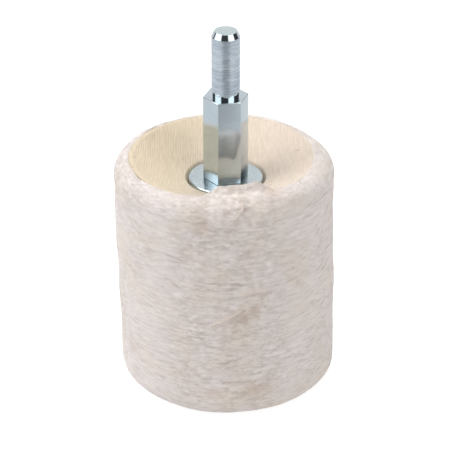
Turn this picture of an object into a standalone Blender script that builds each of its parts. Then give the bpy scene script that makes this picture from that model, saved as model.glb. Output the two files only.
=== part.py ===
"""Cylinder polishing mop: cotton cloth discs clamped on a hex mandrel with a round shank.

The mop stands on the floor with its mandrel up. The origin is the centre of its base, +Z runs along
the mandrel to the end of the shank, and +X crosses a corner of the hex after its quarter turn.
"""

import math

import bmesh
import bpy

MM = 0.001

# Driving sizes of the cloth stack
MOP_DIAMETER = 50.0 * MM
MOP_LENGTH = 55.0 * MM
DISC_COUNT = 36
TOP_RECESS = 7.4 * MM
TOP_SHOULDER = 4.5 * MM
BASE_SHOULDER = 3.2 * MM
CREST_WIDTH = 5.0 * MM

# Driving sizes of the mandrel
SHANK_DIAMETER = 6.35 * MM
SHANK_LENGTH = 15.6 * MM
END_CHAMFER_DEPTH = 0.6 * MM
END_CHAMFER_LENGTH = 1.2 * MM
NECK_DEPTH = 0.15 * MM
NECK_LENGTH = 1.1 * MM
HEX_ACROSS_FLATS = 9.0 * MM
HEX_LENGTH = 20.0 * MM
HEX_TURN = math.radians(10.7)
HEX_EDGE = 0.15 * MM

# Driving sizes of the fasteners
SCREW_DIAMETER = 6.0 * MM
SCREW_ENGAGEMENT = 9.9 * MM
SCREW_CHAMFER = 0.8 * MM
HEAD_ACROSS_FLATS = 10.0 * MM
HEAD_HEIGHT = 4.0 * MM
HEAD_CHAMFER = 0.6 * MM
HEAD_ABOVE_BASE = 0.6 * MM
WASHER_DIAMETER = 17.0 * MM
WASHER_THICKNESS = 1.5 * MM
WASHER_EDGE = 0.25 * MM
LOCK_WASHER_DIAMETER = 11.8 * MM
LOCK_WASHER_THICKNESS = 1.6 * MM
LOCK_WASHER_SPLIT = 1.2 * MM
LOCK_SPLIT_SLANT = math.radians(20)
DRILL_POINT_ANGLE = math.radians(118)

# Clearances
CLOTH_GAP = 0.3 * MM
SEAT_GAP = 0.3 * MM
HOLE_CLEARANCE = 0.4 * MM
THREAD_CLEARANCE = 0.3 * MM
TAPPED_SPARE = 2.5 * MM
CLAMP_MARGIN = 0.5 * MM

# Facets round each turned piece
CLOTH_SIDES = 24
STEEL_SIDES = 32
SMOOTH_ANGLE = math.radians(35)
MERGE = 0.00001
OVERRUN = 2.0 * MM

# Levels along the axis, worked out from the sizes above
HEAD_BOTTOM = HEAD_ABOVE_BASE
HEAD_TOP = HEAD_BOTTOM + HEAD_HEIGHT
LOCK_WASHER_BOTTOM = HEAD_TOP + SEAT_GAP
LOWER_WASHER_BOTTOM = LOCK_WASHER_BOTTOM + LOCK_WASHER_THICKNESS + SEAT_GAP
STACK_BOTTOM = LOWER_WASHER_BOTTOM + WASHER_THICKNESS + SEAT_GAP
STACK_TOP = MOP_LENGTH - TOP_RECESS
UPPER_WASHER_BOTTOM = STACK_TOP + SEAT_GAP
HEX_BOTTOM = UPPER_WASHER_BOTTOM + WASHER_THICKNESS + SEAT_GAP
HEX_TOP = HEX_BOTTOM + HEX_LENGTH
SHANK_TOP = HEX_TOP + SHANK_LENGTH
SCREW_TIP = HEX_BOTTOM + SCREW_ENGAGEMENT
TAPPED_HOLE_TOP = SCREW_TIP + TAPPED_SPARE

# Radii shared by pieces that fit together
MOP_RADIUS = MOP_DIAMETER / 2
SCREW_RADIUS = SCREW_DIAMETER / 2
CLOTH_HOLE_RADIUS = SCREW_RADIUS + HOLE_CLEARANCE
WASHER_HOLE_RADIUS = SCREW_RADIUS + HOLE_CLEARANCE / 2
CLAMP_RADIUS = WASHER_DIAMETER / 2 + CLAMP_MARGIN
CREST_RADIUS = MOP_RADIUS - CREST_WIDTH

STEEL_COLOUR = (0.62, 0.66, 0.69, 1.0)
CLOTH_COLOUR = (0.79, 0.74, 0.69, 1.0)


def clear_scene():
    for thing in list(bpy.data.objects):
        bpy.data.objects.remove(thing, do_unlink=True)


def make_collection(name):
    collection = bpy.data.collections.new(name)
    bpy.context.scene.collection.children.link(collection)
    return collection


def make_material(name, colour, roughness, metallic):
    material = bpy.data.materials.new(name)
    material.use_nodes = True
    shader = material.node_tree.nodes["Principled BSDF"]
    shader.inputs["Base Color"].default_value = colour
    shader.inputs["Roughness"].default_value = roughness
    shader.inputs["Metallic"].default_value = metallic
    return material


def add_object(name, mesh, collection, material=None):
    thing = bpy.data.objects.new(name, mesh)
    collection.objects.link(thing)
    if material:
        mesh.materials.append(material)
    return thing


def turned(name, profile, sides, collection, material=None, closed=True):
    """A profile of (radius, height) points, running down its outer side, spun about the Z axis."""
    mesh = bpy.data.meshes.new(name)
    points = [(radius, 0.0, height) for radius, height in profile]
    last = len(points) if closed else len(points) - 1
    mesh.from_pydata(points, [(i, (i + 1) % len(points)) for i in range(last)], [])
    thing = add_object(name, mesh, collection, material)
    spin = thing.modifiers.new("Turned", "SCREW")
    spin.axis = "Z"
    spin.steps = sides
    spin.render_steps = sides
    spin.use_merge_vertices = True
    spin.merge_threshold = MERGE
    spin.use_smooth_shade = False
    return thing


def hex_prism(name, across_flats, bottom, top, turn, edge, collection, material=None):
    """A hexagonal bar along Z with its edges eased by a small bevel."""
    mesh = bpy.data.meshes.new(name)
    shape = bmesh.new()
    radius = across_flats / 2 / math.cos(math.pi / 6)
    bmesh.ops.create_cone(
        shape, cap_ends=True, segments=6, radius1=radius, radius2=radius, depth=top - bottom
    )
    shape.verts.ensure_lookup_table()
    first = shape.verts[0].co
    spin = turn - math.atan2(first.y, first.x)
    for corner in shape.verts:
        angle = math.atan2(corner.co.y, corner.co.x) + spin
        corner.co.x = radius * math.cos(angle)
        corner.co.y = radius * math.sin(angle)
    bmesh.ops.translate(shape, verts=shape.verts, vec=(0, 0, (top + bottom) / 2))
    shape.to_mesh(mesh)
    shape.free()
    thing = add_object(name, mesh, collection, material)
    if edge:
        eased = thing.modifiers.new("Eased edges", "BEVEL")
        eased.width = edge
        eased.segments = 1
    return thing


def boolean(thing, other, operation):
    step = thing.modifiers.new(operation.title() + " " + other.name, "BOOLEAN")
    step.operation = operation
    step.object = other


def hide_tool(tool):
    tool.hide_render = True
    tool.display_type = "WIRE"


def settle(thing):
    """Turns an object's modifiers into its mesh, shaded smooth between its sharp edges."""
    graph = bpy.context.evaluated_depsgraph_get()
    mesh = bpy.data.meshes.new_from_object(thing.evaluated_get(graph))
    mesh.name = thing.name
    thing.modifiers.clear()
    thing.data = mesh
    mesh.shade_smooth()
    mesh.set_sharp_from_angle(angle=SMOOTH_ANGLE)


def dressed_radius(middle):
    """The outer radius of a disc whose rim lies at this height, with both shoulders rounded."""
    from_base = middle
    from_top = MOP_LENGTH - middle
    for distance, shoulder in ((from_base, BASE_SHOULDER), (from_top, TOP_SHOULDER)):
        if distance < shoulder:
            short = shoulder - distance
            return MOP_RADIUS - shoulder + math.sqrt(shoulder**2 - short**2)
    return MOP_RADIUS


def cloth_disc(index, collection, material):
    """One cloth disc: thin where the washers clamp it, lofted at its rim, and dished between."""
    clamp_pitch = (STACK_TOP - STACK_BOTTOM) / DISC_COUNT
    rim_pitch = MOP_LENGTH / DISC_COUNT
    clamp_low = STACK_BOTTOM + index * clamp_pitch
    clamp_high = clamp_low + clamp_pitch - CLOTH_GAP
    rim_low = index * rim_pitch
    rim_high = rim_low + rim_pitch - CLOTH_GAP
    edge = dressed_radius((rim_low + rim_high) / 2)
    profile = [
        (CLOTH_HOLE_RADIUS, clamp_high),
        (CLAMP_RADIUS, clamp_high),
        (CREST_RADIUS, rim_high),
        (edge, rim_high),
        (edge, rim_low),
        (CREST_RADIUS, rim_low),
        (CLAMP_RADIUS, clamp_low),
        (CLOTH_HOLE_RADIUS, clamp_low),
    ]
    return turned(f"cloth_disc_{index + 1:02d}", profile, CLOTH_SIDES, collection, material)


def flat_washer(name, bottom, collection, material):
    outer = WASHER_DIAMETER / 2
    top = bottom + WASHER_THICKNESS
    profile = [
        (WASHER_HOLE_RADIUS, top),
        (outer - WASHER_EDGE, top),
        (outer, top - WASHER_EDGE),
        (outer, bottom + WASHER_EDGE),
        (outer - WASHER_EDGE, bottom),
        (WASHER_HOLE_RADIUS, bottom),
    ]
    return turned(name, profile, STEEL_SIDES, collection, material)


def lock_washer(collection, tools, material):
    """A spring washer: a flat ring cut through by one slanted split."""
    outer = LOCK_WASHER_DIAMETER / 2
    top = LOCK_WASHER_BOTTOM + LOCK_WASHER_THICKNESS
    profile = [
        (WASHER_HOLE_RADIUS, top),
        (outer, top),
        (outer, LOCK_WASHER_BOTTOM),
        (WASHER_HOLE_RADIUS, LOCK_WASHER_BOTTOM),
    ]
    ring = turned("lock_washer", profile, STEEL_SIDES, collection, material)

    mesh = bpy.data.meshes.new("lock washer split")
    shape = bmesh.new()
    bmesh.ops.create_cube(shape, size=1.0)
    size = (outer * 2, LOCK_WASHER_SPLIT, LOCK_WASHER_THICKNESS + OVERRUN * 2)
    bmesh.ops.scale(shape, verts=shape.verts, vec=size)
    shape.to_mesh(mesh)
    shape.free()
    split = add_object("lock washer split", mesh, tools)
    split.location = (outer, 0, LOCK_WASHER_BOTTOM + LOCK_WASHER_THICKNESS / 2)
    split.rotation_euler = (LOCK_SPLIT_SLANT, 0, 0)
    hide_tool(split)
    boolean(ring, split, "DIFFERENCE")
    return ring


def clamp_screw(collection, tools, material):
    """The hex screw that comes up through the stack and into the mandrel."""
    screw = hex_prism(
        "clamp_screw", HEAD_ACROSS_FLATS, HEAD_BOTTOM, HEAD_TOP, HEX_TURN, 0, collection, material
    )
    rim = HEAD_ACROSS_FLATS / 2
    corner = rim / math.cos(math.pi / 6)
    outside = corner + OVERRUN
    chamfer_end = HEAD_BOTTOM + HEAD_CHAMFER * (outside - rim) / (corner - rim)
    cone = turned(
        "screw head cone",
        [
            (0, HEAD_TOP + OVERRUN),
            (outside, HEAD_TOP + OVERRUN),
            (outside, chamfer_end),
            (rim, HEAD_BOTTOM),
            (0, HEAD_BOTTOM),
        ],
        STEEL_SIDES,
        tools,
        closed=False,
    )
    hide_tool(cone)
    boolean(screw, cone, "INTERSECT")
    inside_head = (HEAD_BOTTOM + HEAD_TOP) / 2
    body = turned(
        "screw body",
        [
            (0, SCREW_TIP),
            (SCREW_RADIUS - SCREW_CHAMFER, SCREW_TIP),
            (SCREW_RADIUS, SCREW_TIP - SCREW_CHAMFER),
            (SCREW_RADIUS, inside_head),
            (0, inside_head),
        ],
        STEEL_SIDES,
        tools,
        closed=False,
    )
    hide_tool(body)
    boolean(screw, body, "UNION")
    return screw


def mandrel(collection, tools, material):
    """A hex bar turned down to a round shank, with a shallow relief at the shank's foot.

    A blind hole is tapped up its lower end for the clamp screw.
    """
    bar = hex_prism(
        "mandrel", HEX_ACROSS_FLATS, HEX_BOTTOM, HEX_TOP, HEX_TURN, HEX_EDGE, collection, material
    )
    radius = SHANK_DIAMETER / 2
    neck = radius - NECK_DEPTH
    neck_top = HEX_TOP + NECK_LENGTH
    shank = turned(
        "mandrel shank",
        [
            (0, SHANK_TOP),
            (radius - END_CHAMFER_DEPTH, SHANK_TOP),
            (radius, SHANK_TOP - END_CHAMFER_LENGTH),
            (radius, neck_top + NECK_DEPTH),
            (neck, neck_top),
            (neck, HEX_TOP - OVERRUN),
            (0, HEX_TOP - OVERRUN),
        ],
        STEEL_SIDES,
        tools,
        closed=False,
    )
    hide_tool(shank)
    boolean(bar, shank, "UNION")
    hole_radius = SCREW_RADIUS + THREAD_CLEARANCE
    drill_point = hole_radius / math.tan(DRILL_POINT_ANGLE / 2)
    hole = turned(
        "mandrel tapped hole",
        [
            (0, TAPPED_HOLE_TOP + drill_point),
            (hole_radius, TAPPED_HOLE_TOP),
            (hole_radius, HEX_BOTTOM - OVERRUN),
            (0, HEX_BOTTOM - OVERRUN),
        ],
        STEEL_SIDES,
        tools,
        closed=False,
    )
    hide_tool(hole)
    boolean(bar, hole, "DIFFERENCE")
    return bar


def main():
    clear_scene()
    mop = make_collection("polishing_mop")
    tools = make_collection("cutters")
    steel = make_material("bright zinc plated steel", STEEL_COLOUR, 0.3, 1.0)
    cloth = make_material("brushed cotton cloth", CLOTH_COLOUR, 0.95, 0.0)

    mandrel(mop, tools, steel)
    flat_washer("upper_washer", UPPER_WASHER_BOTTOM, mop, steel)
    for index in range(DISC_COUNT):
        cloth_disc(index, mop, cloth)
    flat_washer("lower_washer", LOWER_WASHER_BOTTOM, mop, steel)
    lock_washer(mop, tools, steel)
    clamp_screw(mop, tools, steel)
    for thing in mop.objects:
        settle(thing)


main()
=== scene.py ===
import math
import random

import bmesh
import bpy
from mathutils import Matrix, Vector, noise


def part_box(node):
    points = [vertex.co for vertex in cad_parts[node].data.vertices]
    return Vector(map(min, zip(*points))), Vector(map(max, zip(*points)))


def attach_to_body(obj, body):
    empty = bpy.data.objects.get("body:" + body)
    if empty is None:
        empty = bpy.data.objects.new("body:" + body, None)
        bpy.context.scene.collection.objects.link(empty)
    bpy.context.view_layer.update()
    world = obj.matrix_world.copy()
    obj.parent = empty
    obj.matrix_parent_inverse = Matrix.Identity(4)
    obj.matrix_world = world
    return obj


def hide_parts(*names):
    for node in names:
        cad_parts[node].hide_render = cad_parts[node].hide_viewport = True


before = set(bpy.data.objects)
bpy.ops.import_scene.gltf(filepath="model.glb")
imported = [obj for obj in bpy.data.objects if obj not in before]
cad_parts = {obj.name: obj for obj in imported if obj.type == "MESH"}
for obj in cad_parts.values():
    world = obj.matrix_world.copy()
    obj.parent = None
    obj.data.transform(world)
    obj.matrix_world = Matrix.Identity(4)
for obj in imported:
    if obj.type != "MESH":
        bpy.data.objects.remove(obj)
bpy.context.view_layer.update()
mm = 0.001

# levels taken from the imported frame, in millimetres
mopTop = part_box("cloth_disc_36")[1].z / mm
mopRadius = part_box("cloth_disc_18")[1].x / mm
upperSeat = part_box("upper_washer")[0].z / mm
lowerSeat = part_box("lower_washer")[1].z / mm
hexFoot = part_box("mandrel")[0].z / mm
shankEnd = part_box("mandrel")[1].z / mm
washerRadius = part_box("upper_washer")[1].x / mm


def linear(hexColour):  # sRGB hex to the linear colour of a socket
    parts = [int(hexColour[i:i + 2], 16) / 255 for i in (1, 3, 5)]
    return tuple(c / 12.92 if c <= 0.04045 else ((c + 0.055) / 1.055) ** 2.4 for c in parts) + (1.0,)


def smooth(low, high, value):
    share = min(1.0, max(0.0, (value - low) / (high - low)))
    return share * share * (3 - 2 * share)


def mix(a, b, share):
    return a + (b - a) * share


def ripple(x, y, z):  # signed noise, about -1 to 1, over millimetres already divided by their grain
    return noise.noise(Vector((x, y, z)))


def addNode(tree, kind, inputs=None, stops=None, **settings):
    node = tree.nodes.new(kind)
    for key, value in settings.items():
        setattr(node, key, value)
    for key, value in (inputs or {}).items():
        if isinstance(value, bpy.types.NodeSocket):
            tree.links.new(value, node.inputs[key])
        else:
            node.inputs[key].default_value = value
    for index, (place, colour) in enumerate(stops or []):
        points = node.color_ramp.elements
        point = points[index] if index < 2 else points.new(place)
        point.position = place
        point.color = colour
    return node


def newMaterial(name, **values):
    material = bpy.data.materials.new(name)
    material.use_nodes = True
    shader = material.node_tree.nodes["Principled BSDF"]
    for key, value in values.items():
        shader.inputs[key.replace("_", " ")].default_value = value
    return material, material.node_tree, shader


def grainOf(size):  # noise scale for a feature of this many millimetres
    return 1 / (size * mm)


def pieceFrom(bm, name, *materials, sharpAngle=35):
    mesh = bpy.data.meshes.new(name)
    bm.to_mesh(mesh)
    bm.free()
    mesh.shade_smooth()
    mesh.set_sharp_from_angle(angle=math.radians(sharpAngle))
    for material in materials:
        mesh.materials.append(material)
    piece = bpy.data.objects.new(name, mesh)
    bpy.context.scene.collection.objects.link(piece)
    return piece


def spinProfile(bm, profile, steps, closed=False):  # profile of (radius, height) in millimetres
    start = [bm.verts.new((radius * mm, 0, height * mm)) for radius, height in profile]
    edges = [bm.edges.new(pair) for pair in zip(start, start[1:])]
    if closed:
        edges.append(bm.edges.new((start[-1], start[0])))
    bmesh.ops.spin(bm, geom=start + edges, cent=(0, 0, 0), axis=(0, 0, 1), angle=2 * math.pi,
                   steps=steps, use_merge=True, use_duplicate=False)
    bmesh.ops.remove_doubles(bm, verts=bm.verts, dist=1e-7)
    bmesh.ops.recalc_face_normals(bm, faces=bm.faces)


def combine(piece, tool, operation, sharpAngle):  # boolean with a second piece, applied at once
    step = piece.modifiers.new(operation.lower(), "BOOLEAN")
    step.operation = operation
    step.object = tool
    graph = bpy.context.evaluated_depsgraph_get()
    mesh = bpy.data.meshes.new_from_object(piece.evaluated_get(graph))
    piece.modifiers.clear()
    piece.data = mesh
    mesh.name = piece.name
    mesh.shade_smooth()
    mesh.set_sharp_from_angle(angle=math.radians(sharpAngle))
    bpy.data.objects.remove(tool)


def attach(piece, slot, *nodes):
    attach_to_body(piece, "root")
    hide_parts(*nodes)


# bright zinc plate with a blue passivate over cold drawn steel: mirror-like with a frosty grain of crystals
def zincPlate(name, base, dull, roughness, grain, lines=None):
    material, tree, shader = newMaterial(name, Metallic=1.0, Roughness=roughness)
    place = addNode(tree, "ShaderNodeTexCoord").outputs["Object"]
    frost = addNode(tree, "ShaderNodeTexNoise", {"Vector": place, "Scale": grainOf(grain), "Detail": 4.0})
    cloud = addNode(tree, "ShaderNodeTexNoise", {"Vector": place, "Scale": grainOf(5.0), "Detail": 2.0})
    texture, depth = frost.outputs["Fac"], 0.0014
    if lines:  # turning lines: noise along the axis, hardly changing round it
        strung = addNode(tree, "ShaderNodeMapping", {"Vector": place, "Scale": (0.06, 0.06, 1.0)})
        turned = addNode(tree, "ShaderNodeTexNoise", {
            "Vector": strung.outputs["Vector"], "Scale": grainOf(lines), "Detail": 3.0, "Roughness": 0.6})
        texture, depth = turned.outputs["Fac"], 0.01
    mottle = addNode(tree, "ShaderNodeMix", {0: 0.3, 2: texture, 3: cloud.outputs["Fac"]})
    tone = addNode(tree, "ShaderNodeValToRGB", {"Fac": mottle.outputs["Result"]},
                   stops=[(0.36, linear(dull)), (0.6, linear(base))])
    tree.links.new(tone.outputs["Color"], shader.inputs["Base Color"])
    rough = addNode(tree, "ShaderNodeMapRange", {
        "Value": texture, "From Min": 0.3, "From Max": 0.7,
        "To Min": roughness * 0.75, "To Max": roughness * 1.35})
    bump = addNode(tree, "ShaderNodeBump", {"Height": texture, "Strength": 1.0, "Distance": depth * mm})
    tree.links.new(rough.outputs["Result"], shader.inputs["Roughness"])
    tree.links.new(bump.outputs["Normal"], shader.inputs["Normal"])
    return material


zincDrawn = zincPlate("bright zinc plate on drawn hex steel", "#ccd8df", "#bac7cf", 0.1, 0.16)
zincTurned = zincPlate("bright zinc plate on turned steel", "#ccd7e1", "#9dabb8", 0.26, 0.3, lines=0.2)
zincMirror = zincPlate("bright zinc plate on a fine turned chamfer", "#d2dde2", "#c2ced5", 0.05, 0.5)
zincFaced = zincPlate("bright zinc plate on a faced end", "#d4e2e4", "#c8d5d8", 0.16, 0.4)
zincStamped = zincPlate("bright zinc plate on stamped washer steel", "#cfdbdf", "#bcc8ce", 0.16, 0.3)


# cotton nap: combed loose fibres that scatter light softly, with no gloss and a faint sheen
def cottonNap(name, light, mid, warm, stainAndPaintedLight, bumpDepth):
    material, tree, shader = newMaterial(name, Roughness=0.95, Sheen_Weight=0.2, Sheen_Roughness=0.6)
    shader.inputs["Specular IOR Level"].default_value = 0.15
    place = addNode(tree, "ShaderNodeTexCoord").outputs["Object"]
    patch = addNode(tree, "ShaderNodeTexNoise", {"Vector": place, "Scale": grainOf(8.0), "Detail": 3.0})
    tuft = addNode(tree, "ShaderNodeMapping", {"Vector": place, "Scale": (0.3, 0.3, 1.6)})
    fleck = addNode(tree, "ShaderNodeTexNoise", {"Vector": tuft.outputs["Vector"], "Scale": grainOf(0.9),
                                                "Detail": 5.0, "Roughness": 0.65})
    base = addNode(tree, "ShaderNodeValToRGB", {"Fac": fleck.outputs["Fac"]},
                   stops=[(0.33, linear(mid)), (0.62, linear(light))])
    warmth = addNode(tree, "ShaderNodeMapRange", {
        "Value": patch.outputs["Fac"], "From Min": 0.45, "From Max": 0.66, "To Min": 0.0, "To Max": 0.75})
    colour = addNode(tree, "ShaderNodeMix", {0: warmth.outputs["Result"], 6: base.outputs["Color"],
                                            7: linear(warm)}, data_type="RGBA")
    # this attribute holds real brown stains and painted shade above zero, and painted light below zero
    marked = addNode(tree, "ShaderNodeAttribute", attribute_name="stainAndPaintedLight")
    stainedAndShaded = addNode(tree, "ShaderNodeMix", {0: marked.outputs["Fac"], 6: colour.outputs[2],
                                             7: linear(stainAndPaintedLight)}, data_type="RGBA")
    paintedLightShare = addNode(tree, "ShaderNodeMath", {0: marked.outputs["Fac"], 1: -1.0}, operation="MULTIPLY",
                      use_clamp=True)  # a value below zero is painted lighter: painted highlights along lit ridges and painted light on the flap
    paintedLighter = addNode(tree, "ShaderNodeMix", {0: paintedLightShare.outputs["Value"], 6: stainedAndShaded.outputs[2],
                                           7: linear("#fbf1e2")}, data_type="RGBA")
    worn = addNode(tree, "ShaderNodeAttribute", attribute_name="worn")
    clump = addNode(tree, "ShaderNodeMapping", {"Vector": place, "Scale": (0.6, 0.6, 1.3)})
    matted = addNode(tree, "ShaderNodeTexNoise", {"Vector": clump.outputs["Vector"], "Scale": grainOf(1.1),
                                                 "Detail": 4.0, "Roughness": 0.7})
    grime = addNode(tree, "ShaderNodeMapRange", {"Value": matted.outputs["Fac"], "From Min": 0.42,
                                                "From Max": 0.66, "To Min": 0.0, "To Max": 0.75})
    share = addNode(tree, "ShaderNodeMath", {0: grime.outputs["Result"], 1: worn.outputs["Fac"]},
                    operation="MULTIPLY")
    greyed = addNode(tree, "ShaderNodeMix", {0: share.outputs["Value"], 6: paintedLighter.outputs[2],
                                            7: linear("#b3a69d")}, data_type="RGBA")
    tree.links.new(greyed.outputs[2], shader.inputs["Base Color"])
    fine = addNode(tree, "ShaderNodeTexNoise", {"Vector": tuft.outputs["Vector"], "Scale": grainOf(0.28),
                                               "Detail": 4.0})
    bump = addNode(tree, "ShaderNodeBump", {"Height": fine.outputs["Fac"], "Strength": 1.0,
                                           "Distance": bumpDepth * mm})
    tree.links.new(bump.outputs["Normal"], shader.inputs["Normal"])
    return material


napCotton = cottonNap("combed cotton nap", "#e8e0dd", "#d6cdc9", "#dfd5cb", "#c4ab97", 0.06)
lockCotton = cottonNap("loose cotton fibre", "#e9e2de", "#dbd3ce", "#e1d8ce", "#cdb69a", 0.02)
# painted highlight: a paler copy of the fibre cotton for the long tresses that catch the light
highlightCotton = cottonNap("cotton fibre painted pale as a highlight", "#fbf2ec", "#f4e8e0", "#f7ede2", "#e4d8c8", 0.02)


# unbleached twill: ribs of yarn, cream to the left and pinker to the right, with a few seed specks and
# painted shade darkening the grooves between the ribs
def ribbedCotton(name):
    material, tree, shader = newMaterial(name, Roughness=0.9, Sheen_Weight=0.15)
    shader.inputs["Specular IOR Level"].default_value = 0.2
    place = addNode(tree, "ShaderNodeTexCoord").outputs["Object"]
    apart = addNode(tree, "ShaderNodeSeparateXYZ", {"Vector": place})
    across = addNode(tree, "ShaderNodeMapRange", {"Value": apart.outputs["X"], "From Min": -14 * mm,
                                                 "From Max": 12 * mm, "To Min": 0.0, "To Max": 1.0})
    tone = addNode(tree, "ShaderNodeMix", {0: across.outputs["Result"], 6: linear("#ddceb5"),
                                          7: linear("#e1d2c4")}, data_type="RGBA")
    stretched = addNode(tree, "ShaderNodeMapping", {"Vector": place, "Scale": (1.0, 0.12, 0.12)})
    yarn = addNode(tree, "ShaderNodeTexNoise", {"Vector": stretched.outputs["Vector"], "Scale": grainOf(0.35),
                                               "Detail": 3.0})
    yarnShade = addNode(tree, "ShaderNodeMapRange", {"Value": yarn.outputs["Fac"], "From Min": 0.3,
                                                    "From Max": 0.7, "To Min": 0.88, "To Max": 1.03})
    shaded = addNode(tree, "ShaderNodeMix", {0: 1.0, 6: tone.outputs[2], 7: yarnShade.outputs["Result"]},
                     data_type="RGBA", blend_type="MULTIPLY")
    seed = addNode(tree, "ShaderNodeTexVoronoi", {"Vector": place, "Scale": grainOf(4.6)})
    speck = addNode(tree, "ShaderNodeMapRange", {"Value": seed.outputs["Distance"], "From Min": 0.05,
                                                "From Max": 0.1, "To Min": 0.45, "To Max": 0.0})
    colour = addNode(tree, "ShaderNodeMix", {0: speck.outputs["Result"], 6: shaded.outputs[2],
                                            7: linear("#8f7a5c")}, data_type="RGBA")
    # painted shade: the grooves between the ribs are painted darker
    grooveShade = addNode(tree, "ShaderNodeAttribute", attribute_name="grooveShade")
    depth = addNode(tree, "ShaderNodeMapRange", {"Value": grooveShade.outputs["Fac"], "To Min": 0.0, "To Max": 0.4})
    woven = addNode(tree, "ShaderNodeMix", {0: depth.outputs["Result"], 6: colour.outputs[2],
                                           7: linear("#c2ad90")}, data_type="RGBA")
    tree.links.new(woven.outputs[2], shader.inputs["Base Color"])
    weft = addNode(tree, "ShaderNodeTexWave", {"Vector": place, "Scale": grainOf(0.4) / 20, "Distortion": 1.5,
                                              "Detail": 2.0}, bands_direction="Y")
    bump = addNode(tree, "ShaderNodeBump", {"Height": weft.outputs["Fac"], "Strength": 1.0,
                                           "Distance": 0.03 * mm})
    tree.links.new(bump.outputs["Normal"], shader.inputs["Normal"])
    return material


twill = ribbedCotton("ribbed unbleached cotton")
print("materials made")

mandrelLook = dict(
    shankRadius=3.175, endDepth=0.6, endLength=1.2, neckDepth=0.15, neckLength=1.1, hexFlats=9.0,
    hexLength=20.0, hexTurn=10.7, hexEdge=0.13, footReach=0.25, sunk=1.0, easing=0.04,
    ringHeights=(-5.7, -8.1), ringDepth=0.018, ringWidth=0.22, steps=128)


def makeMandrel():
    look = mandrelLook
    radius = look["shankRadius"]
    neck = radius - look["neckDepth"]
    hexTop = hexFoot + look["hexLength"]
    neckTop = hexTop + look["neckLength"]
    chamferFoot = shankEnd - look["endLength"]
    finishes = (zincDrawn, zincTurned, zincMirror, zincFaced)
    hexHeight = look["hexLength"] + look["footReach"]
    bm = bmesh.new()
    bmesh.ops.create_cone(bm, cap_ends=True, segments=6, radius1=look["hexFlats"] / math.sqrt(3) * mm,
                          radius2=look["hexFlats"] / math.sqrt(3) * mm, depth=hexHeight * mm)
    first = next(v for v in bm.verts if v.co.y > -1e-9 and v.co.x > 0)
    turn = math.radians(look["hexTurn"]) - math.atan2(first.co.y, first.co.x)
    bmesh.ops.rotate(bm, verts=bm.verts, cent=(0, 0, 0), matrix=Matrix.Rotation(turn, 3, "Z"))
    bmesh.ops.translate(bm, verts=bm.verts, vec=(0, 0, (hexTop - hexHeight / 2) * mm))
    bmesh.ops.bevel(bm, geom=bm.edges[:], offset=look["hexEdge"] * mm, offset_type="OFFSET", affect="EDGES",
                    segments=3, profile=0.5, material=-1)
    for face in bm.faces:  # the hex's shoulder is faced to a mirror, so it doubles the neck above it
        face.material_index = 2 if face.normal.z > 0.99 else 0
    piece = pieceFrom(bm, "plated_mandrel", *finishes)

    ease = look["easing"]
    profile = [(0, shankEnd), (radius - look["endDepth"] - ease, shankEnd),
               (radius - look["endDepth"], shankEnd - ease), (radius - ease / 2, chamferFoot),
               (radius, chamferFoot - ease)]
    for drop in look["ringHeights"]:
        level = shankEnd + drop
        profile += [(radius, level + look["ringWidth"]), (radius - look["ringDepth"], level),
                    (radius, level - look["ringWidth"])]
    profile += [(radius, neckTop + look["neckDepth"]), (neck, neckTop), (neck, hexTop - look["sunk"]),
                (0, hexTop - look["sunk"])]
    shank = bmesh.new()
    spinProfile(shank, profile, look["steps"])
    for face in shank.faces:
        level = face.calc_center_median().z / mm
        if level > shankEnd - ease / 2:
            face.material_index = 3
        elif level > chamferFoot or level < neckTop + look["neckDepth"]:
            face.material_index = 2
        else:
            ringed = any(abs(level - shankEnd - drop) < look["ringWidth"] for drop in look["ringHeights"])
            face.material_index = 0 if ringed else 1
    combine(piece, pieceFrom(shank, "shank", *finishes), "UNION", 12)
    attach(piece, "zinc_plated_steel", "mandrel")


washerLook = dict(bore=3.2, thickness=1.5, edge=0.3, burr=0.08)


def makeWasher(name, node, seat):
    outer, inner = washerRadius, washerLook["bore"]
    edge, thick, burr = (washerLook[key] for key in ("edge", "thickness", "burr"))
    bm = bmesh.new()
    # stamped from strip: a rounded upper edge, a sharp lower one
    rounded = [(outer - edge + edge * math.sin(a), seat + thick - edge + edge * math.cos(a))
               for a in (math.radians(15 * i) for i in range(7))]
    spinProfile(bm, [(inner, seat + thick)] + rounded + [(outer, seat + burr), (outer - burr, seat),
                                                        (inner, seat)], 128, closed=True)
    piece = pieceFrom(bm, name, zincStamped)
    attach(piece, "zinc_plated_steel", node)


makeMandrel()
makeWasher("plated_upper_washer", "upper_washer", upperSeat)
makeWasher("plated_lower_washer", "lower_washer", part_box("lower_washer")[0].z / mm)


screwLook = dict(flats=10.0, chamfer=30.0, edge=0.12, turned=23.0, seatGap=0.3)


def makeScrewHead():
    low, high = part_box("clamp_screw")[0].z / mm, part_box("lock_washer")[0].z / mm - screwLook["seatGap"]
    corner = screwLook["flats"] / math.sqrt(3)
    rim = screwLook["flats"] / 2 - screwLook["edge"]
    bm = bmesh.new()
    bmesh.ops.create_cone(bm, cap_ends=True, segments=6, radius1=corner * mm, radius2=corner * mm,
                          depth=(high - low) * mm)
    turn = math.radians(screwLook["turned"])
    bmesh.ops.rotate(bm, verts=bm.verts, cent=(0, 0, 0), matrix=Matrix.Rotation(turn, 3, "Z"))
    bmesh.ops.translate(bm, verts=bm.verts, vec=(0, 0, (low + high) / 2 * mm))
    piece = pieceFrom(bm, "plated_clamp_screw", zincDrawn)
    cone = bmesh.new()
    outside = corner + 3
    slope = math.tan(math.radians(screwLook["chamfer"]))
    spinProfile(cone, [(0, high + 2), (outside, high + 2), (outside, low + slope * (outside - rim)),
                       (rim, low), (0, low)], 96)
    combine(piece, pieceFrom(cone, "head_cone", zincDrawn), "INTERSECT", 12)
    attach(piece, "zinc_plated_steel", "clamp_screw")


lockWasherLook = dict(bore=3.2, split=12, dish=0.05)


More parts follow.
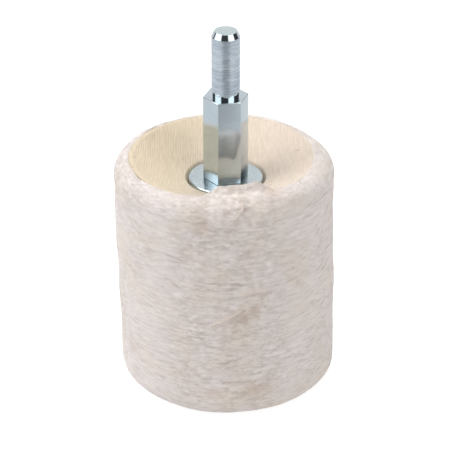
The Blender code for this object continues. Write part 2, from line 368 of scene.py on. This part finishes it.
def makeLockWasher():
    low, high = (c.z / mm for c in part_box("lock_washer"))
    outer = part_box("lock_washer")[1].x / mm
    inner, split, dish = lockWasherLook["bore"], math.radians(lockWasherLook["split"]), lockWasherLook["dish"]
    bm = bmesh.new()
    section = [bm.verts.new((r * mm, 0, z * mm)) for r, z in
               ((inner, high), (outer, high - dish), (outer, low + dish), (inner, low))]
    face = bm.faces.new(section)
    bmesh.ops.rotate(bm, verts=section, cent=(0, 0, 0), matrix=Matrix.Rotation(split / 2, 3, "Z"))
    bmesh.ops.spin(bm, geom=[face] + list(face.edges) + section, cent=(0, 0, 0), axis=(0, 0, 1),
                   angle=2 * math.pi - split, steps=96, use_duplicate=False)
    bm.faces.ensure_lookup_table()
    bmesh.ops.recalc_face_normals(bm, faces=bm.faces)
    piece = pieceFrom(bm, "plated_lock_washer", zincStamped)
    attach(piece, "zinc_plated_steel", "lock_washer")


makeScrewHead()
makeLockWasher()
print("steel pieces made")


clothLook = dict(
    crestRadius=20.6, reach=21.7, ribPitch=0.52, ribHeight=0.036, calm=0.45, slub=0.45, across=0.11,
    along=0.42, thickness=0.45, hole=3.5, sag=0.2, pinch=0.21, tuck=0.5,
    seatGap=0.3)

napLook = dict(
    columns=560, lipRows=48, topArcRows=34, sideRows=300, baseArcRows=26, baseLipRows=12, innerRows=4,
    topArc=4.5, baseArc=3.2, edgeRadius=21.1, edgeBack=0.6, edgeLeft=0.8, flare=0.12, drift=0.42,
    flapReach=6.2, lump=0.26, streak=0.07, crease=0.13, fibre=0.04, mat=0.14, fluff=0.1,
    hollow=(9.6, -17.2), hollowSize=2.6, hollowPaintedShade=0.75, flapPaintedLight=0.12, insidePaintedLight=0.5)


def flapShare(angle):  # 1 where the nap is folded in over the washer, at the front
    degrees = math.degrees(angle)
    return smooth(-107, -92, degrees) * (1 - smooth(-64, -54, degrees))


def lipFoot(angle):  # radius where the nap meets the woven end
    x, y = math.cos(angle), math.sin(angle)
    turn = napLook["edgeRadius"] + napLook["edgeBack"] * y - napLook["edgeLeft"] * x
    turn += 0.35 * ripple(x * 3, y * 3, 2.0) + 0.2 * ripple(x * 11, y * 11, 5.0)
    return turn - (napLook["flapReach"] + 0.8 * ripple(angle * 5, 3, 1)) * flapShare(angle)


def driftAt(height):  # the soft stack leans a little off the mandrel's line
    return napLook["drift"] * (1 - 2 * smooth(5, 52, height))


def clothHeight(radius, seat, rim):  # dished cloth: pinched under the washer, free at the rim
    look = clothLook
    straight = min(1.0, max(0.0, (radius - washerRadius) / (look["crestRadius"] - washerRadius)))
    steep = smooth(washerRadius + 0.05, washerRadius + 0.8, radius)
    return mix(seat, rim, mix(straight, steep, look["pinch"]))


def makeCloth(name, node, seat, rim, shift):
    look = clothLook
    reach = look["reach"]
    bm = bmesh.new()
    bmesh.ops.create_grid(bm, x_segments=round(2 * reach / look["across"]),
                          y_segments=round(2 * reach / look["along"]), size=reach * mm)
    outside = [v for v in bm.verts if not look["hole"] < math.hypot(v.co.x, v.co.y) / mm < reach]
    bmesh.ops.delete(bm, geom=outside, context="VERTS")
    up = 1 if rim > seat else -1
    grooveShadeLayer = bm.verts.layers.float.new("grooveShade")
    for vert in bm.verts:
        x, y = vert.co.x / mm, vert.co.y / mm
        radius = math.hypot(x, y)
        lean = x + 0.35 * ripple(x / 9, y / 9, shift) + 0.12 * ripple(x / 2.5, y / 2.5, shift + 4)
        lean += 0.02 * y * smooth(2, 18, x)
        rib = math.cos(2 * math.pi * lean / look["ribPitch"])
        lively = 1 - look["calm"] * smooth(0, 12, x)  # the ribs are calmer to the right
        # painted shade for the groove between ribs, weaker to the right
        vert[grooveShadeLayer] = (0.5 - 0.5 * rib) * lively * (0.7 + 0.3 * ripple(x / 0.8, y / 1.6, shift + 13))
        slub = 1 + look["slub"] * ripple(x / 0.5, y / 2.2, shift + 9)
        free = smooth(washerRadius, washerRadius + 4, radius) * (1 - smooth(18.5, 20.5, radius))
        sag = look["sag"] * ripple(x / 7, y / 7, shift + 20) * free
        foot = lipFoot(math.atan2(y, x)) if up > 0 else 20.2
        tuck = look["tuck"] * smooth(foot + 0.15, foot + 1.0, radius)  # in under the nap
        raised = look["ribHeight"] * lively * rib * slub
        height = clothHeight(radius, seat, rim) + up * (raised + sag - tuck)
        vert.co.z = height * mm
        vert.co.x += driftAt(height) * smooth(washerRadius, look["crestRadius"], radius) * mm
    if up < 0:
        bmesh.ops.reverse_faces(bm, faces=bm.faces)
    piece = pieceFrom(bm, name, twill, sharpAngle=180)
    wall = piece.modifiers.new("cloth thickness", "SOLIDIFY")
    wall.thickness = look["thickness"] * mm
    wall.offset = -1
    attach(piece, "cloth", node)
    return piece


topSeat, topRim = upperSeat - clothLook["seatGap"], mopTop - 0.15
makeCloth("top_cloth", "cloth_disc_36", topSeat, topRim, 3.0)
makeCloth("base_cloth", "cloth_disc_01", lowerSeat + clothLook["seatGap"], 0.35, 11.0)
print("woven ends made")


napMarks = [  # disturbed places on the side: where, how long and wide, how they slant, how far out, and the colour they paint: brown stains and painted shade above zero, painted highlights below zero
    # painted highlight along the lit top of the wisp
    dict(angle=-87, level=27.4, reach=5.2, width=0.50, slant=34, lift=0.24, stainAndPaintedLight=-0.9),
    # painted shade under the wisp
    dict(angle=-80, level=27.0, reach=3.8, width=1.60, slant=30, lift=-0.40, stainAndPaintedLight=0.42),
    # painted highlight along a lit band
    dict(angle=-77, level=32.9, reach=3.8, width=0.50, slant=5, lift=0.12, stainAndPaintedLight=-0.6),
    # painted shade under that band
    dict(angle=-76, level=32.0, reach=3.6, width=0.35, slant=5, lift=-0.30, stainAndPaintedLight=0.15),
    dict(angle=-88, level=35.2, reach=4.8, width=0.30, slant=-3, lift=-0.45, stainAndPaintedLight=0.2),
    dict(angle=-102, level=49.8, reach=2.6, width=1.80, slant=-70, lift=-0.10, stainAndPaintedLight=0.36),
    # painted shade beside the crescent of fibres
    dict(angle=-89, level=53.2, reach=1.7, width=1.10, slant=-60, lift=-0.14, stainAndPaintedLight=0.36),
    dict(angle=-101, level=24.7, reach=1.8, width=0.45, slant=8, lift=-0.42, stainAndPaintedLight=0.15),
    dict(angle=-105, level=22.6, reach=2.0, width=0.90, slant=20, lift=0.30, stainAndPaintedLight=0.0),
    dict(angle=-117, level=33.7, reach=1.5, width=0.45, slant=-35, lift=-0.36, stainAndPaintedLight=0.18),
    dict(angle=-117, level=40.6, reach=2.4, width=0.22, slant=-10, lift=-0.24, stainAndPaintedLight=0.0),
    dict(angle=-86, level=15.4, reach=3.6, width=0.28, slant=14, lift=-0.36, stainAndPaintedLight=0.1),
    dict(angle=-84, level=9.4, reach=4.6, width=0.30, slant=-2, lift=-0.36, stainAndPaintedLight=0.2),
    dict(angle=-78, level=22.0, reach=3.2, width=0.30, slant=24, lift=-0.30, stainAndPaintedLight=0.1),
    dict(angle=-72, level=7.0, reach=4.2, width=1.60, slant=0, lift=-0.12, stainAndPaintedLight=0.42),
    dict(angle=-96, level=6.4, reach=2.8, width=1.30, slant=10, lift=-0.10, stainAndPaintedLight=0.30),
    dict(angle=-150, level=11.5, reach=2.6, width=2.00, slant=20, lift=-0.10, stainAndPaintedLight=0.30),
    dict(angle=-34, level=20.0, reach=5.0, width=0.22, slant=46, lift=-0.22, stainAndPaintedLight=0.0)]


def marked(angle, height):  # lift, and the stains, painted shade and painted highlights, that the marks give one point of the side
    lift, stainAndPaintedLight = 0.0, 0.0
    for mark in napMarks:
        across = (math.degrees(angle) - mark["angle"]) * math.pi / 180 * mopRadius
        rise = height - mark["level"]
        if abs(across) > 3 * mark["reach"] or abs(rise) > 3 * mark["reach"]:
            continue
        slant = math.radians(mark["slant"])
        along = across * math.cos(slant) + rise * math.sin(slant)
        off = rise * math.cos(slant) - across * math.sin(slant)
        off += 0.4 * ripple(across / 2.0, rise / 2.0, 4) + 0.2 * ripple(across / 0.7, rise / 0.7, 4)
        share = math.exp(-(along / mark["reach"]) ** 4 - (off / mark["width"]) ** 2)
        lift += mark["lift"] * share
        stainAndPaintedLight += mark["stainAndPaintedLight"] * share
    return lift, stainAndPaintedLight


def wornAt(angle, level):  # 0 where the nap is still combed smooth, 1 where use has matted it, at the front
    x, y = math.cos(angle) * mopRadius, math.sin(angle) * mopRadius
    patch = smooth(-0.1, 0.5, ripple(x / 14, y / 14, level / 16 + 11))
    front = math.exp(-((math.degrees(angle) + 88) / 33) ** 4) * smooth(-2, 4, level)
    return max(front * (0.8 + 0.4 * ripple(x / 6, y / 6, level / 6 + 33)), 0.4 * patch)


def combed(angle, level):  # how far the combed fibres stand proud of the even surface
    look = napLook
    x, y = math.cos(angle) * mopRadius, math.sin(angle) * mopRadius
    worn = wornAt(angle, level)
    ruffled = 0.24 + 0.9 * worn
    sway = 2.2 * ripple(x / 8, y / 8, level / 6 + 30) + 0.6 * ripple(x / 2.4, y / 2.4, level / 2 + 50)
    lane = level + sway
    lump = ripple(x / 10, y / 10, level / 8) + 0.35 * ripple(x / 3.0, y / 3.0, level / 2.4 + 5)
    streak = ripple(x / 7.0, y / 7.0, lane / 0.85)
    fold = abs(ripple(x / 4.2, y / 4.2, lane / 1.5 + 70))  # thin creases run where this noise crosses zero
    crease = 1 - smooth(0.0, 0.13, fold)
    strand = ripple(x / 1.3, y / 1.3, lane / 0.3 + 90)
    mat = ripple(x / 1.6, y / 1.6, lane / 0.75 + 120) + 0.6 * ripple(x / 0.7, y / 0.7, lane / 0.4 + 150)
    return (look["lump"] * lump + look["mat"] * worn * worn * mat
            + ruffled * (look["streak"] * streak - look["crease"] * crease + look["fibre"] * strand))


rowSpans = [("lip", napLook["lipRows"]), ("topArc", napLook["topArcRows"]), ("side", napLook["sideRows"]),
            ("baseArc", napLook["baseArcRows"]), ("baseLip", napLook["baseLipRows"]),
            ("inner", napLook["innerRows"])]


def napPoint(angle, span, share, lift=0.0):
    # a point of the nap's surface, in millimetres: span names the stretch of the outline, share runs along it
    look = napLook
    arc, low = look["topArc"], look["baseArc"]
    footRadius = lipFoot(angle)
    start = math.asin(min(1, max(0, (footRadius + 0.35 - (mopRadius - arc)) / arc)))
    flap = flapShare(angle)
    inward, outward, level = 0.0, 0.0, 0.0
    if span == "lip":
        foot = clothHeight(footRadius, topSeat, topRim) - 0.15
        endRadius = mopRadius - arc + arc * math.sin(start)
        end = mopTop - arc + arc * math.cos(start)
        rise = 1 - (1 - share) ** (2.0 + 2.4 * flap)
        radius = mix(footRadius, endRadius, share)
        height = mix(foot, end, rise) + flap * 1.25 * math.sin(math.pi * min(1, share * 1.1)) ** 2
        x, y = radius * math.cos(angle), radius * math.sin(angle)
        fluff = ripple(x / 1.7, y / 1.7, 6) + ripple(x / 0.7, y / 0.9, 8) / 3
        height += flap * look["fluff"] * smooth(0, 0.15, share) * fluff
        slope = math.radians(mix(150, 90, smooth(0, 0.5, share)))
        outward, inward = math.cos(slope), math.sin(slope)
        level = mopTop + (endRadius - radius)
        strength = smooth(0, 0.25, share) if flap < 0.5 else smooth(0, 0.08, share)
        strength = mix(strength, 0.7 * strength, flap)
    elif span == "topArc":
        turn = mix(start, math.pi / 2, share)
        outward, inward = math.sin(turn), math.cos(turn)
        radius = mopRadius - arc + arc * outward
        height = mopTop - arc + arc * inward
        level = mopTop - arc * (turn - start)
        strength = mix(0.65, 1.0, share)
    elif span == "side":
        outward = 1.0
        height = mix(mopTop - arc, low, share)
        radius = mopRadius + look["flare"] * math.sin(math.pi * share) - 0.1
        level = height + arc - arc * (math.pi / 2 - start)
        strength = 1.0
    elif span == "baseArc":
        turn = mix(math.pi / 2, math.pi, share)
        outward, inward = math.sin(turn), math.cos(turn)
        radius = mopRadius - 0.1 - low + low * outward
        height = low + low * inward
        level = -share * low + low + arc - arc * (math.pi / 2 - start)
        strength = mix(1.0, 0.0, smooth(0.45, 1.0, share))
    elif span == "baseLip":
        radius = mix(mopRadius - 0.1 - low, 20.2, share)
        height = mix(0.0, 1.1, share ** 2)
        inward = -1.0
        level = -3 * share
        strength = 0.0
    else:  # the hidden inner wall, under both woven ends
        depths = ((18.0, 5.0), (9.6, 14.0), (9.6, 42.0),
                  (min(footRadius, 17.0), 49.0 if flap < 0.4 else 46.0))
        radius, height = depths[min(3, int(share * 4))]
        strength = 0.0
    proud = strength * (combed(angle, level) + marked(angle, height)[0]) + lift
    radius += outward * proud
    height = max(height + inward * proud, 0.0)
    return Vector((radius * math.cos(angle) + driftAt(height), radius * math.sin(angle), height)) * mm


def makeFleece():
    look = napLook
    rows = [(span, index / count) for span, count in rowSpans for index in range(count)]
    total = len(rows)
    bm = bmesh.new()
    # a ring of rows spun full circle, then each point is moved to its place on the nap
    ring = [(15 + 5 * math.cos(2 * math.pi * k / total), 5 * math.sin(2 * math.pi * k / total))
            for k in range(total)]
    spinProfile(bm, ring, look["columns"], closed=True)
    for vert in bm.verts:
        x, y, z = (c / mm for c in vert.co)
        angle = math.atan2(y, x)
        turn = math.atan2(z, math.hypot(x, y) - 15) % (2 * math.pi)
        span, share = rows[round(turn / (2 * math.pi) * total) % total]
        vert.co = napPoint(angle, span, share)
    bmesh.ops.recalc_face_normals(bm, faces=bm.faces)
    stainAndPaintedLightLayer = bm.verts.layers.float.new("stainAndPaintedLight")
    wear = bm.verts.layers.float.new("worn")
    hollow = Vector((*look["hollow"], mopTop)) * mm  # painted shade in the fold at the right end of the flap
    for vert in bm.verts:
        angle, height = math.atan2(vert.co.y, vert.co.x), vert.co.z / mm
        stainAndPaintedLight = marked(angle, height)[1]
        # painted shade: the hollow fold is painted browner
        stainAndPaintedLight += look["hollowPaintedShade"] * math.exp(-((vert.co - hollow).length / mm / look["hollowSize"]) ** 2)
        # painted light: the flap is painted paler cream, most of all on its inner slope, to lift the shade
        # that falls there
        inside = 1 - smooth(15, 21, math.hypot(vert.co.x, vert.co.y) / mm)
        stainAndPaintedLight -= (look["flapPaintedLight"] + look["insidePaintedLight"] * inside) * flapShare(angle) * smooth(47, 52, height)
        vert[stainAndPaintedLightLayer] = min(0.8, stainAndPaintedLight)
        vert[wear] = wornAt(angle, height)
    piece = pieceFrom(bm, "fleece", napCotton, sharpAngle=180)
    attach(piece, "cloth", *[f"cloth_disc_{i:02d}" for i in range(2, 36)])
    return piece


makeFleece()
print("fleece made")


def makeLocks(name, routes, material):
    # each route is a list of (point, radius): a lock of fibres as a thin spindle, closed at both tips
    curve = bpy.data.curves.new(name, "CURVE")
    curve.dimensions = "3D"
    curve.bevel_depth = 1.0
    curve.bevel_resolution = 0
    curve.use_fill_caps = False
    for route in routes:
        spline = curve.splines.new("POLY")
        spline.points.add(len(route) - 1)
        for point, (place, radius) in zip(spline.points, route):
            point.co = (*place, 1.0)
            point.radius = radius * mm
    holder = bpy.data.objects.new(name, curve)
    bpy.context.scene.collection.objects.link(holder)
    graph = bpy.context.evaluated_depsgraph_get()
    mesh = bpy.data.meshes.new_from_object(holder.evaluated_get(graph))
    bpy.data.objects.remove(holder)
    bm = bmesh.new()
    bm.from_mesh(mesh)
    bmesh.ops.remove_doubles(bm, verts=bm.verts, dist=1e-6)
    bmesh.ops.dissolve_degenerate(bm, edges=bm.edges, dist=1e-7)
    bmesh.ops.recalc_face_normals(bm, faces=bm.faces)
    piece = pieceFrom(bm, name, material, sharpAngle=180)
    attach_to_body(piece, "root")
    return piece


locksLook = dict(
    points=8, sideCount=2600, sidePieces=3, thin=0.014, thick=0.038,
    flapCount=3200, flapPoints=8, rimCount=1300, rimPoints=7)


def sideRoute(rng):
    look = locksLook
    angle = rng.uniform(-math.pi, math.pi)
    share = rng.random()
    span = "side" if rng.random() < 0.82 else ("topArc" if rng.random() < 0.6 else "baseArc")
    worn = wornAt(angle, 47 * (1 - share))
    length = rng.uniform(2.5, 8.0) * (1 - 0.55 * worn)  # fibres are short and ruffled where the nap is matted
    spanLength = {"side": 47.3, "topArc": 6.0, "baseArc": 5.0}[span]
    tilt = math.radians(rng.gauss(0, 9 + 20 * worn) + 14 * ripple(angle * 3, share * 6, 7))
    bend = rng.gauss(0, 0.25)
    width = rng.uniform(look["thin"], look["thick"])
    lift = rng.uniform(0.0, 0.06)
    tip = lift + max(0.0, rng.gauss(-0.02, 0.08))
    route = []
    for i in range(look["points"]):
        t = i / (look["points"] - 1)
        along = length * (t - 0.5)
        climb = math.sin(tilt) * along + bend * math.sin(math.pi * t)
        at = min(1.0, max(0.0, share - climb / spanLength))
        height = -0.12 + (lift + 0.12) * math.sin(math.pi * min(1.0, t * 1.1 + 0.05)) ** 0.6
        if i == look["points"] - 1:
            height = tip
        taper = math.sin(math.pi * t) ** 0.5 if 0 < t < 1 else 0.0
        route.append((napPoint(angle + math.cos(tilt) * along / mopRadius, span, at, height), width * taper))
    return route


tresses = [  # bundles of long fibres: from and to, as degrees and level, how far they bow and how many
    dict(start=(-98, 24.2), end=(-77, 30.6), bow=0.5, spread=0.3, lift=0.24, count=120),
    dict(start=(-86, 32.3), end=(-67, 33.4), bow=0.4, spread=0.4, lift=0.12, count=50),
    dict(start=(-85, 51.8), end=(-80.5, 54.6), bow=1.0, spread=0.14, lift=0.6, count=150)]


def napAt(angle, level, lift):  # the point of the nap at a height on its side or its upper rounding
    arc = napLook["topArc"]
    crest = mopTop - arc
    if level <= crest:
        low = napLook["baseArc"]
        return napPoint(angle, "side", (crest - level) / (crest - low), lift)
    start = math.asin(min(1, max(0, (lipFoot(angle) + 0.35 - (mopRadius - arc)) / arc)))
    turn = math.acos(min(1.0, (level - crest) / arc))
    return napPoint(angle, "topArc", max(0.0, (turn - start) / (math.pi / 2 - start)), lift)


def tressRoute(rng, tress):
    (fromAngle, fromLevel), (toAngle, toLevel) = tress["start"], tress["end"]
    begin, finish = sorted((rng.uniform(-0.05, 0.75), rng.uniform(0.3, 1.08)))
    offAngle = math.degrees(rng.gauss(0, tress["spread"]) / mopRadius)
    offLevel = rng.gauss(0, tress["spread"])
    width = rng.uniform(0.014, 0.036)
    lift = tress["lift"] * rng.uniform(0.1, 1.0)
    route = []
    for i in range(locksLook["points"]):
        t = i / (locksLook["points"] - 1)
        along = mix(begin, finish, t)
        bow = tress["bow"] * math.sin(math.pi * along)
        angle = mix(fromAngle, toAngle, along) + offAngle + math.degrees(bow / mopRadius)
        level = mix(fromLevel, toLevel, along) + offLevel * (0.5 + 0.5 * t)
        height = -0.1 + (lift + 0.1) * math.sin(math.pi * min(1.0, 0.08 + 0.84 * t)) ** 0.7
        taper = math.sin(math.pi * t) ** 0.5 if 0 < t < 1 else 0.0
        route.append((napAt(math.radians(angle), level, height), width * taper))
    return route


def flapRoute(rng):  # fibres pulled over the lip, towards the mandrel
    angle = math.radians(rng.uniform(-108, -50))
    share = rng.uniform(0.02, 0.95)
    aim = math.radians(rng.gauss(0, 30))
    length = rng.uniform(1.5, 5.0)
    width = rng.uniform(0.015, 0.036)
    tip = max(0.04, rng.gauss(0.14, 0.12)) + 0.4 * rng.random() * (1 - share) ** 2
    reach = max(2.0, mopRadius - 4.5 - lipFoot(angle))
    route = []
    for i in range(locksLook["flapPoints"]):
        t = i / (locksLook["flapPoints"] - 1)
        at = min(1.0, max(0.0, share - math.cos(aim) * length * t / reach))
        turn = angle + math.sin(aim) * length * t / 17
        taper = 1 - t ** 1.5 if i else 0.0
        route.append((napPoint(turn, "lip", at, -0.1 + (tip + 0.1) * t ** 1.2), width * taper))
    return route


def rimRoute(rng):  # short fibres that cross from the nap onto the woven end
    angle = rng.uniform(-math.pi, math.pi)
    width = rng.uniform(0.014, 0.03)
    length = rng.uniform(0.8, 2.6)
    aim = rng.gauss(0, 0.9)
    start = rng.uniform(0.0, 1.0)
    tip = max(0.02, rng.gauss(0.05, 0.05))
    route = []
    for i in range(locksLook["rimPoints"]):
        t = i / (locksLook["rimPoints"] - 1)
        turn = angle + math.sin(aim) * length * t / 21
        at = max(0.0, start - math.cos(aim) * length * t / 6.0)
        point = napPoint(turn, "topArc", at, 0.0)
        over = max(0.0, math.cos(aim) * length * t / 6.0 - start) * 6.0
        radius = math.hypot(point.x, point.y) / mm
        inner = max(radius - over, 0.5)
        rise = clothHeight(inner, topSeat, topRim) if over else point.z / mm
        place = Vector((inner * math.cos(turn), inner * math.sin(turn), rise + 0.05 + tip * t)) * mm
        taper = 1 - t ** 1.5 if i else 0.0
        route.append((place, width * taper))
    return route


for index in range(locksLook["sidePieces"]):
    rng = random.Random(40 + index)
    routes = [sideRoute(rng) for _ in range(locksLook["sideCount"])]
    makeLocks(f"side_fibres_{index + 1}", routes, lockCotton)
rng = random.Random(57)
# the tresses are painted paler than the nap: painted highlights along the lit wisp and crescent
makeLocks("tress_fibres", [tressRoute(rng, tress) for tress in tresses for _ in range(tress["count"])],
          highlightCotton)
rng = random.Random(71)
makeLocks("flap_fibres", [flapRoute(rng) for _ in range(locksLook["flapCount"])], lockCotton)
makeLocks("rim_fibres", [rimRoute(rng) for _ in range(locksLook["rimCount"])], lockCotton)
print("loose fibres made")


stageLook = dict(distance=476.0, elevation=28.74, aim=(-0.17, 0.0, 36.66), lens=165.03, floorSize=3.0,
                 floorLight=0.82, floorThrow=0.5)


def makeFloor():  # an opal sheet lit from below, and unlit in front, where the tent is open
    material, tree, shader = newMaterial("backlit opal sheet", Roughness=0.9)
    shader.inputs["Base Color"].default_value = (0.3, 0.3, 0.3, 1.0)
    shader.inputs["Emission Color"].default_value = (1.0, 1.0, 1.0, 1.0)
    shader.inputs["Specular IOR Level"].default_value = 0.0
    place = addNode(tree, "ShaderNodeTexCoord").outputs["Object"]
    away = addNode(tree, "ShaderNodeVectorMath", {0: place, 1: (0.015, -0.28, 0.0)}, operation="DISTANCE")
    thrown = addNode(tree, "ShaderNodeMapRange", {
        "Value": away.outputs["Value"], "From Min": 0.11, "From Max": 0.19,
        "To Min": 0.02, "To Max": stageLook["floorThrow"]})
    seen = addNode(tree, "ShaderNodeLightPath")  # it looks evenly white, and throws less light than it shows
    lit = addNode(tree, "ShaderNodeMapRange", {
        "Value": seen.outputs["Is Camera Ray"], "To Min": thrown.outputs["Result"],
        "To Max": stageLook["floorLight"]})
    tree.links.new(lit.outputs["Result"], shader.inputs["Emission Strength"])
    bm = bmesh.new()
    bmesh.ops.create_circle(bm, cap_ends=True, segments=96, radius=stageLook["floorSize"])
    floor = pieceFrom(bm, "floor", material)
    floor.location.z = -0.0002


def makeCamera():
    look = stageLook
    lift = math.radians(look["elevation"])
    forward = Vector((0, math.cos(lift), -math.sin(lift)))
    above = Vector((0, math.sin(lift), math.cos(lift)))
    data = bpy.data.cameras.new("camera")
    data.lens = look["lens"]
    data.clip_start = 0.01
    data.clip_end = 20
    camera = bpy.data.objects.new("camera", data)
    turned = Matrix((Vector((1, 0, 0)), above, -forward)).transposed().to_4x4()
    place = (Vector(look["aim"]) - forward * look["distance"]) * mm
    camera.matrix_world = Matrix.Translation(place) @ turned
    bpy.context.scene.collection.objects.link(camera)
    bpy.context.scene.camera = camera


def softbox(name, place, width, height, power):
    data = bpy.data.lights.new(name, "AREA")
    data.shape = "RECTANGLE"
    data.size = width
    data.size_y = height
    data.energy = power
    lamp = bpy.data.objects.new(name, data)
    lamp.location = place
    lamp.rotation_euler = (Vector((0, 0, 0.04)) - lamp.location).to_track_quat("-Z", "Y").to_euler()
    bpy.context.scene.collection.objects.link(lamp)


# a tent of two white walls, open and dark at the front where the camera stands and at the back corners
skyLook = dict(
    walls=2.0, leftWall=(0.10, 0.145, 0.54, 0.66), rightWall=(0.025, 0.06, 0.33, 0.39), back=(0.88, 0.96),
    dark=0.03, backTone=0.42, overhead=0.44, roof=(0.62, 0.78), sill=(0.04, 0.12))


def wallRamp(tree, turn, wall):
    dark, back = ((skyLook[key],) * 3 + (1.0,) for key in ("dark", "backTone"))
    white = (1.0, 1.0, 1.0, 1.0)
    return addNode(tree, "ShaderNodeValToRGB", {"Fac": turn}, stops=[
        (0.0, dark), (wall[0], dark), (wall[1], white), (wall[2], white), (wall[3], dark),
        (skyLook["back"][0], dark), (skyLook["back"][1], back)]).outputs["Color"]


def makeSky():
    look = skyLook
    world = bpy.data.worlds.new("studio")
    world.use_nodes = True
    tree = world.node_tree
    tree.nodes.clear()
    place = addNode(tree, "ShaderNodeTexCoord").outputs["Generated"]
    apart = addNode(tree, "ShaderNodeSeparateXYZ", {"Vector": place})
    level = addNode(tree, "ShaderNodeVectorMath", {0: place, 1: (1.0, 1.0, 0.0)}, operation="MULTIPLY")
    flat = addNode(tree, "ShaderNodeVectorMath", {0: level.outputs["Vector"]}, operation="NORMALIZE")
    front = addNode(tree, "ShaderNodeSeparateXYZ", {"Vector": flat.outputs["Vector"]})
    turn = addNode(tree, "ShaderNodeMapRange", {
        "Value": front.outputs["Y"], "From Min": -1.0, "From Max": 1.0})
    right = addNode(tree, "ShaderNodeMath", {0: apart.outputs["X"], 1: 0.0}, operation="GREATER_THAN")
    walls = addNode(tree, "ShaderNodeMix", {
        0: right.outputs["Value"], 6: wallRamp(tree, turn.outputs["Result"], look["leftWall"]),
        7: wallRamp(tree, turn.outputs["Result"], look["rightWall"])}, data_type="RGBA")
    high = addNode(tree, "ShaderNodeMapRange", {
        "Value": apart.outputs["Z"], "From Min": look["roof"][0], "From Max": look["roof"][1]})
    low = addNode(tree, "ShaderNodeMapRange", {
        "Value": apart.outputs["Z"], "From Min": look["sill"][0], "From Max": look["sill"][1],
        "To Min": 1.0, "To Max": 0.0})
    even = addNode(tree, "ShaderNodeMath", {0: high.outputs["Result"], 1: low.outputs["Result"]},
                   operation="MAXIMUM")
    tone = addNode(tree, "ShaderNodeMix", {0: even.outputs["Value"], 6: walls.outputs[2],
                                          7: (look["overhead"],) * 3 + (1.0,)}, data_type="RGBA")
    tent = addNode(tree, "ShaderNodeBackground", {"Color": tone.outputs[2], "Strength": look["walls"]})
    plain = addNode(tree, "ShaderNodeBackground", {
        "Color": (1.0, 1.0, 1.0, 1.0), "Strength": 1.0})
    seen = addNode(tree, "ShaderNodeLightPath")  # the backdrop itself is plain white
    both = addNode(tree, "ShaderNodeMixShader", {
        0: seen.outputs["Is Camera Ray"], 1: tent.outputs["Background"], 2: plain.outputs["Background"]})
    output = addNode(tree, "ShaderNodeOutputWorld")
    tree.links.new(both.outputs["Shader"], output.inputs["Surface"])
    bpy.context.scene.world = world


makeFloor()
makeCamera()
makeSky()
softbox("left_softbox", (-0.45, 0.05, 0.65), 0.4, 0.4, 1.8)
softbox("rear_softbox", (0.05, 0.36, 0.62), 0.4, 0.4, 1.3)
bpy.context.scene.view_settings.view_transform = "Standard"
print("studio made")
